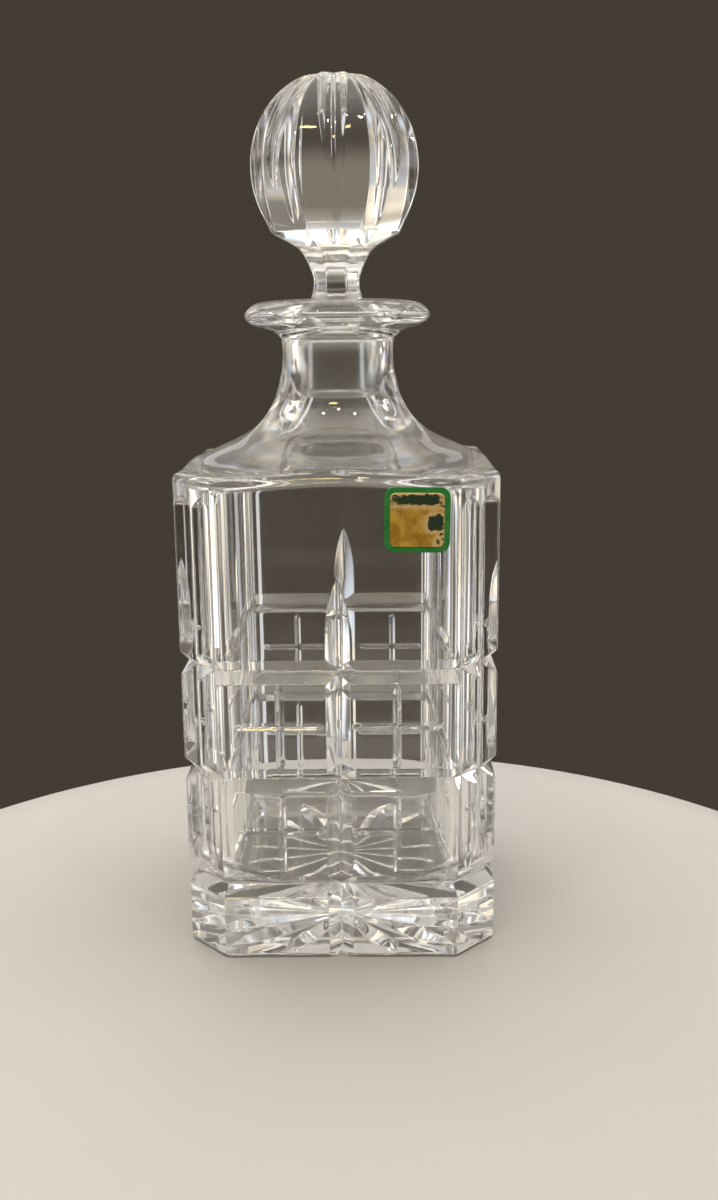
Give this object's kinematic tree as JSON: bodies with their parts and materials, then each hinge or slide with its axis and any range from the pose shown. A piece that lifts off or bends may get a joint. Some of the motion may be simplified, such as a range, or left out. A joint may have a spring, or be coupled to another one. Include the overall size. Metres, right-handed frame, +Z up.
{
  "type": "wine decanter",
  "caption": "Square cut-crystal decanter with chamfered fluted corners, mitre and windowpane cuts, a flared lip and a lift-out faceted ball stopper.",
  "frame": {"origin": "centre of the base, on the surface that the decanter stands on", "axes": "+Z up through the neck and the stopper; the front face, with the label, looks along -Y; +X is to the right of someone looking at the front"},
  "size_m": [0.092, 0.0925, 0.2536],
  "materials": {
    "crystal": "polished clear lead crystal, with crisp bright cut edges",
    "label_green": "printed green label stock, satin, worn",
    "label_gold": "thin gold foil, wrinkled and partly rubbed away"
  },
  "bodies": {
    "decanter": {"decanter_body": "crystal", "label_backing": "label_green", "label_foil": "label_gold"},
    "stopper": {"stopper": "crystal"}
  },
  "joints": [
    {"name": "stopper_lift", "type": "slide", "parent": "decanter", "child": "stopper", "axis": [0, 0, 1], "range_m": [0, 0.045]}
  ]
}
